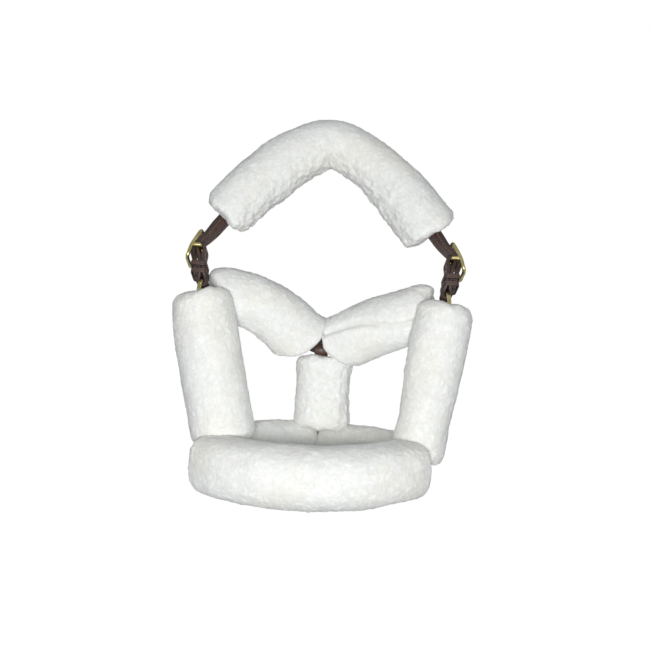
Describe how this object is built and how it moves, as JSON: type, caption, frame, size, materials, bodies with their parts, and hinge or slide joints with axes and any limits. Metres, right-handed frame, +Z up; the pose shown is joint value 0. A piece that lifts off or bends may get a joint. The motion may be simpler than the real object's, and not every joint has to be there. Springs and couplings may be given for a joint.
{
  "type": "fleece-padded leather headcollar",
  "caption": "Stable headcollar: leather straps in fleece sleeves join brass rings, with a padded headpiece buckled at each side, for leading and tying a horse.",
  "frame": {"origin": "poll seat: the middle of the underside of the headpiece sleeve, where the headcollar hangs on the head", "axes": "+Z up the head, -Y towards the wearer's nose, +X to the right of the picture"},
  "size_m": [0.3494, 0.2607, 0.4619],
  "materials": {
    "fleece": "deep sheepskin pile, cream white",
    "leather": "dark brown, lightly waxed",
    "brass": "polished, slightly aged",
    "closure": "woven hook-and-loop strip"
  },
  "bodies": {
    "headpiece": {"headpiece_strap": "leather", "headpiece_sleeve": "fleece", "headpiece_closure": "closure", "left_chape": "leather", "left_buckle_frame": "brass", "left_fixed_keeper": "leather", "right_chape": "leather", "right_buckle_frame": "brass", "right_fixed_keeper": "leather"},
    "cheeks": {"left_cheek_strap": "leather", "left_cheek_sleeve": "fleece", "left_cheek_closure": "closure", "right_cheek_strap": "leather", "right_cheek_sleeve": "fleece", "right_cheek_closure": "closure"},
    "throat": {"throat_strap": "leather", "left_throat_sleeve": "fleece", "left_throat_closure": "closure", "right_throat_sleeve": "fleece", "right_throat_closure": "closure"},
    "noseband": {"noseband_strap": "leather", "noseband_sleeve": "fleece", "noseband_closure": "closure", "left_chin_strap": "leather", "left_chin_sleeve": "fleece", "left_chin_closure": "closure", "right_chin_strap": "leather", "right_chin_sleeve": "fleece", "right_chin_closure": "closure"},
    "jaw": {"jaw_strap": "leather", "jaw_sleeve": "fleece", "jaw_closure": "closure"},
    "lead_ring": {"lead_ring": "brass"},
    "left_cheek_ring": {"left_cheek_ring": "brass"},
    "left_noseband_ring": {"left_noseband_ring": "brass"},
    "left_tongue": {"left_buckle_tongue": "brass"},
    "left_running_keeper": {"left_running_keeper": "leather"},
    "right_cheek_ring": {"right_cheek_ring": "brass"},
    "right_noseband_ring": {"right_noseband_ring": "brass"},
    "right_tongue": {"right_buckle_tongue": "brass"},
    "right_running_keeper": {"right_running_keeper": "leather"}
  },
  "joints": [
    {"name": "headpiece_fold", "type": "hinge", "parent": "headpiece", "child": "cheeks", "pos_m": [0, -0.1, -0.172], "axis": [1, 0, 0], "range_deg": [-60, 4]},
    {"name": "noseband_tilt", "type": "hinge", "parent": "cheeks", "child": "noseband", "pos_m": [0, -0.12, -0.362], "axis": [1, 0, 0], "range_deg": [-5, 5]},
    {"name": "throat_swing", "type": "hinge", "parent": "cheeks", "child": "throat", "pos_m": [0, -0.1, -0.172], "axis": [1, 0, 0], "range_deg": [-5.2, 5.2]},
    {"name": "jaw_swing", "type": "hinge", "parent": "noseband", "child": "jaw", "pos_m": [0, -0.046, -0.3415], "axis": [1, 0, 0], "range_deg": [-8.8, 8.8]},
    {"name": "lead_ring_spin", "type": "hinge", "parent": "noseband", "child": "lead_ring", "pos_m": [0, -0.046, -0.362], "axis": [0, 1, 0], "continuous": true},
    {"name": "left_cheek_ring_turn", "type": "hinge", "parent": "headpiece", "child": "left_cheek_ring", "pos_m": [-0.148, -0.1, -0.172], "axis": [1, 0, 0], "range_deg": [-30, 2]},
    {"name": "left_noseband_ring_turn", "type": "hinge", "parent": "cheeks", "child": "left_noseband_ring", "pos_m": [-0.118, -0.12, -0.362], "axis": [1, 0, 0], "range_deg": [-2.5, 2.5]},
    {"name": "left_tongue_pivot", "type": "hinge", "parent": "headpiece", "child": "left_tongue", "pos_m": [-0.1535, -0.07238, -0.11538], "axis": [0, -0.8988, 0.4384], "range_deg": [0, 15]},
    {"name": "left_keeper_slide", "type": "slide", "parent": "headpiece", "child": "left_running_keeper", "axis": [-0.1284, 0.4348, 0.8913], "range_m": [-0.0015, 0.0035]},
    {"name": "right_cheek_ring_turn", "type": "hinge", "parent": "headpiece", "child": "right_cheek_ring", "pos_m": [0.148, -0.1, -0.172], "axis": [1, 0, 0], "range_deg": [-30, 2]},
    {"name": "right_noseband_ring_turn", "type": "hinge", "parent": "cheeks", "child": "right_noseband_ring", "pos_m": [0.118, -0.12, -0.362], "axis": [1, 0, 0], "range_deg": [-2.5, 2.5]},
    {"name": "right_tongue_pivot", "type": "hinge", "parent": "headpiece", "child": "right_tongue", "pos_m": [0.1535, -0.07238, -0.11538], "axis": [0, 0.8988, -0.4384], "range_deg": [0, 15]},
    {"name": "right_keeper_slide", "type": "slide", "parent": "headpiece", "child": "right_running_keeper", "axis": [0.1284, 0.4348, 0.8913], "range_m": [-0.0015, 0.0035]}
  ],
  "couplings": [
    {"joint": "throat_swing", "follows": "noseband_tilt", "ratio": 1.013},
    {"joint": "jaw_swing", "follows": "noseband_tilt", "ratio": -1.742},
    {"joint": "left_cheek_ring_turn", "follows": "headpiece_fold", "ratio": 0.5},
    {"joint": "left_noseband_ring_turn", "follows": "noseband_tilt", "ratio": 0.5},
    {"joint": "right_cheek_ring_turn", "follows": "headpiece_fold", "ratio": 0.5},
    {"joint": "right_noseband_ring_turn", "follows": "noseband_tilt", "ratio": 0.5}
  ]
}
